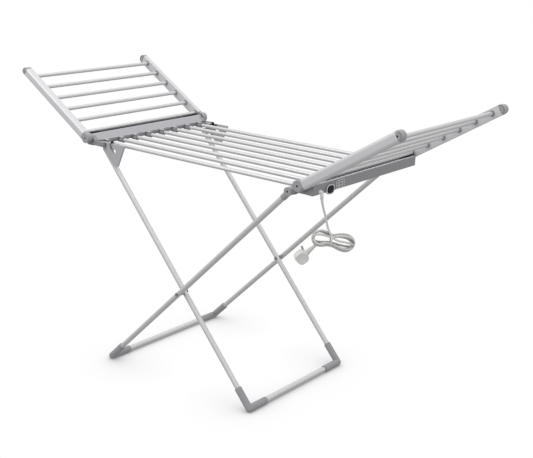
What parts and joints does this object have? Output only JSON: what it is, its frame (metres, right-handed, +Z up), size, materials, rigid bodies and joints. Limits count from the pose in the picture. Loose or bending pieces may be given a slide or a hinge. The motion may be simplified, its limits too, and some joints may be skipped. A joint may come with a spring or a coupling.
{
  "type": "heated clothes airer",
  "caption": "Free-standing electric heated clothes airer with a level rack of round tubes, two raised folding wings, crossed folding legs, a control box with a rocker switch and a tied mains cord",
  "frame": {"origin": "on the floor under the middle of the airer", "axes": "+X along the rack towards the wing with the control box, +Y from the side with the switch and cord towards the other long side, +Z up"},
  "size_m": [1.4751, 0.5401, 0.9331],
  "materials": {
    "housing": "moulded, fine grain",
    "cover": "moulded, fine grain",
    "tube": "satin drawn tube",
    "rail": "satin silver moulding",
    "cap": "moulded, fine grain",
    "foot": "moulded, fine grain",
    "box": "moulded, fine grain",
    "bezel": "polished",
    "black": "moulded",
    "plate": "printed film",
    "white": "moulded",
    "cord": "smooth sheath",
    "steel": "zinc plated",
    "brass": "plated",
    "cable": "silicone sheath",
    "block": "moulded"
  },
  "bodies": {
    "rack": {"left_end_housing": "housing", "right_end_housing": "housing", "left_end_cover": "cover", "right_end_cover": "cover", "housing_screws": "steel", "rack_tubes": "tube", "heating_cable": "cable", "control_box": "box", "box_front_cap": "box", "box_rear_cap": "box", "switch_bezel": "bezel", "rating_plate": "plate", "strain_relief": "white", "terminal_block": "block", "thermal_cutout": "black", "supply_leads": "cable", "wing_hinge_pins": "steel", "leg_pivot_pins": "steel", "lock_bracket_near": "cap", "lock_bracket_far": "cap", "bracket_rivets": "steel", "cord_drop": "cord", "cord_hank": "cord", "cord_tie": "white", "cord_tail": "cord", "plug_body": "white", "plug_pins": "brass", "plug_fuse_carrier": "white"},
    "left_wing": {"left_rail_near": "rail", "left_rail_far": "rail", "left_bars": "tube", "left_bar_bushes": "foot", "left_end_caps": "cap", "left_knuckle_near": "cap", "left_knuckle_far": "cap", "left_cap_screws": "steel"},
    "right_wing": {"right_rail_near": "rail", "right_rail_far": "rail", "right_bars": "tube", "right_bar_bushes": "foot", "right_end_caps": "cap", "right_knuckle_near": "cap", "right_knuckle_far": "cap", "right_cap_screws": "steel"},
    "outer_legs": {"outer_leg_near": "tube", "outer_leg_far": "tube", "outer_foot_bar": "tube", "outer_foot_corners": "foot", "outer_top_caps": "cap", "crossing_rivets": "steel", "crossing_spacers": "foot"},
    "inner_legs": {"inner_leg_near": "tube", "inner_leg_far": "tube", "inner_foot_bar": "tube", "inner_foot_corners": "foot", "inner_top_plugs": "foot"},
    "rocker": {"rocker_switch": "black"},
    "near_latch": {"latch_near": "black"},
    "far_latch": {"latch_far": "black"}
  },
  "joints": [
    {"name": "left_wing_fold", "type": "hinge", "parent": "rack", "child": "left_wing", "pos_m": [-0.428, 0, 0.741], "axis": [0, 1, 0], "range_deg": [0, 144.5]},
    {"name": "right_wing_fold", "type": "hinge", "parent": "rack", "child": "right_wing", "pos_m": [0.428, 0, 0.741], "axis": [0, -1, 0], "range_deg": [0, 145]},
    {"name": "outer_legs_fold", "type": "hinge", "parent": "rack", "child": "outer_legs", "pos_m": [0.39, 0, 0.718], "axis": [0, 1, 0], "range_deg": [0, 40.4]},
    {"name": "inner_legs_fold", "type": "hinge", "parent": "outer_legs", "child": "inner_legs", "pos_m": [-0.03551, 0, 0.31311], "axis": [0, 1, 0], "range_deg": [-90, 0]},
    {"name": "rocker_switch_tilt", "type": "hinge", "parent": "rack", "child": "rocker", "pos_m": [0.469, -0.179, 0.7239], "axis": [0, 1, 0], "range_deg": [0, 12]},
    {"name": "near_latch_turn", "type": "hinge", "parent": "rack", "child": "near_latch", "pos_m": [-0.334, -0.2286, 0.726], "axis": [0, 1, 0], "range_deg": [0, 18]},
    {"name": "far_latch_turn", "type": "hinge", "parent": "rack", "child": "far_latch", "pos_m": [-0.334, 0.2286, 0.726], "axis": [0, 1, 0], "range_deg": [0, 18]}
  ],
  "couplings": [
    {"joint": "inner_legs_fold", "follows": "outer_legs_fold", "ratio": -2.19}
  ]
}
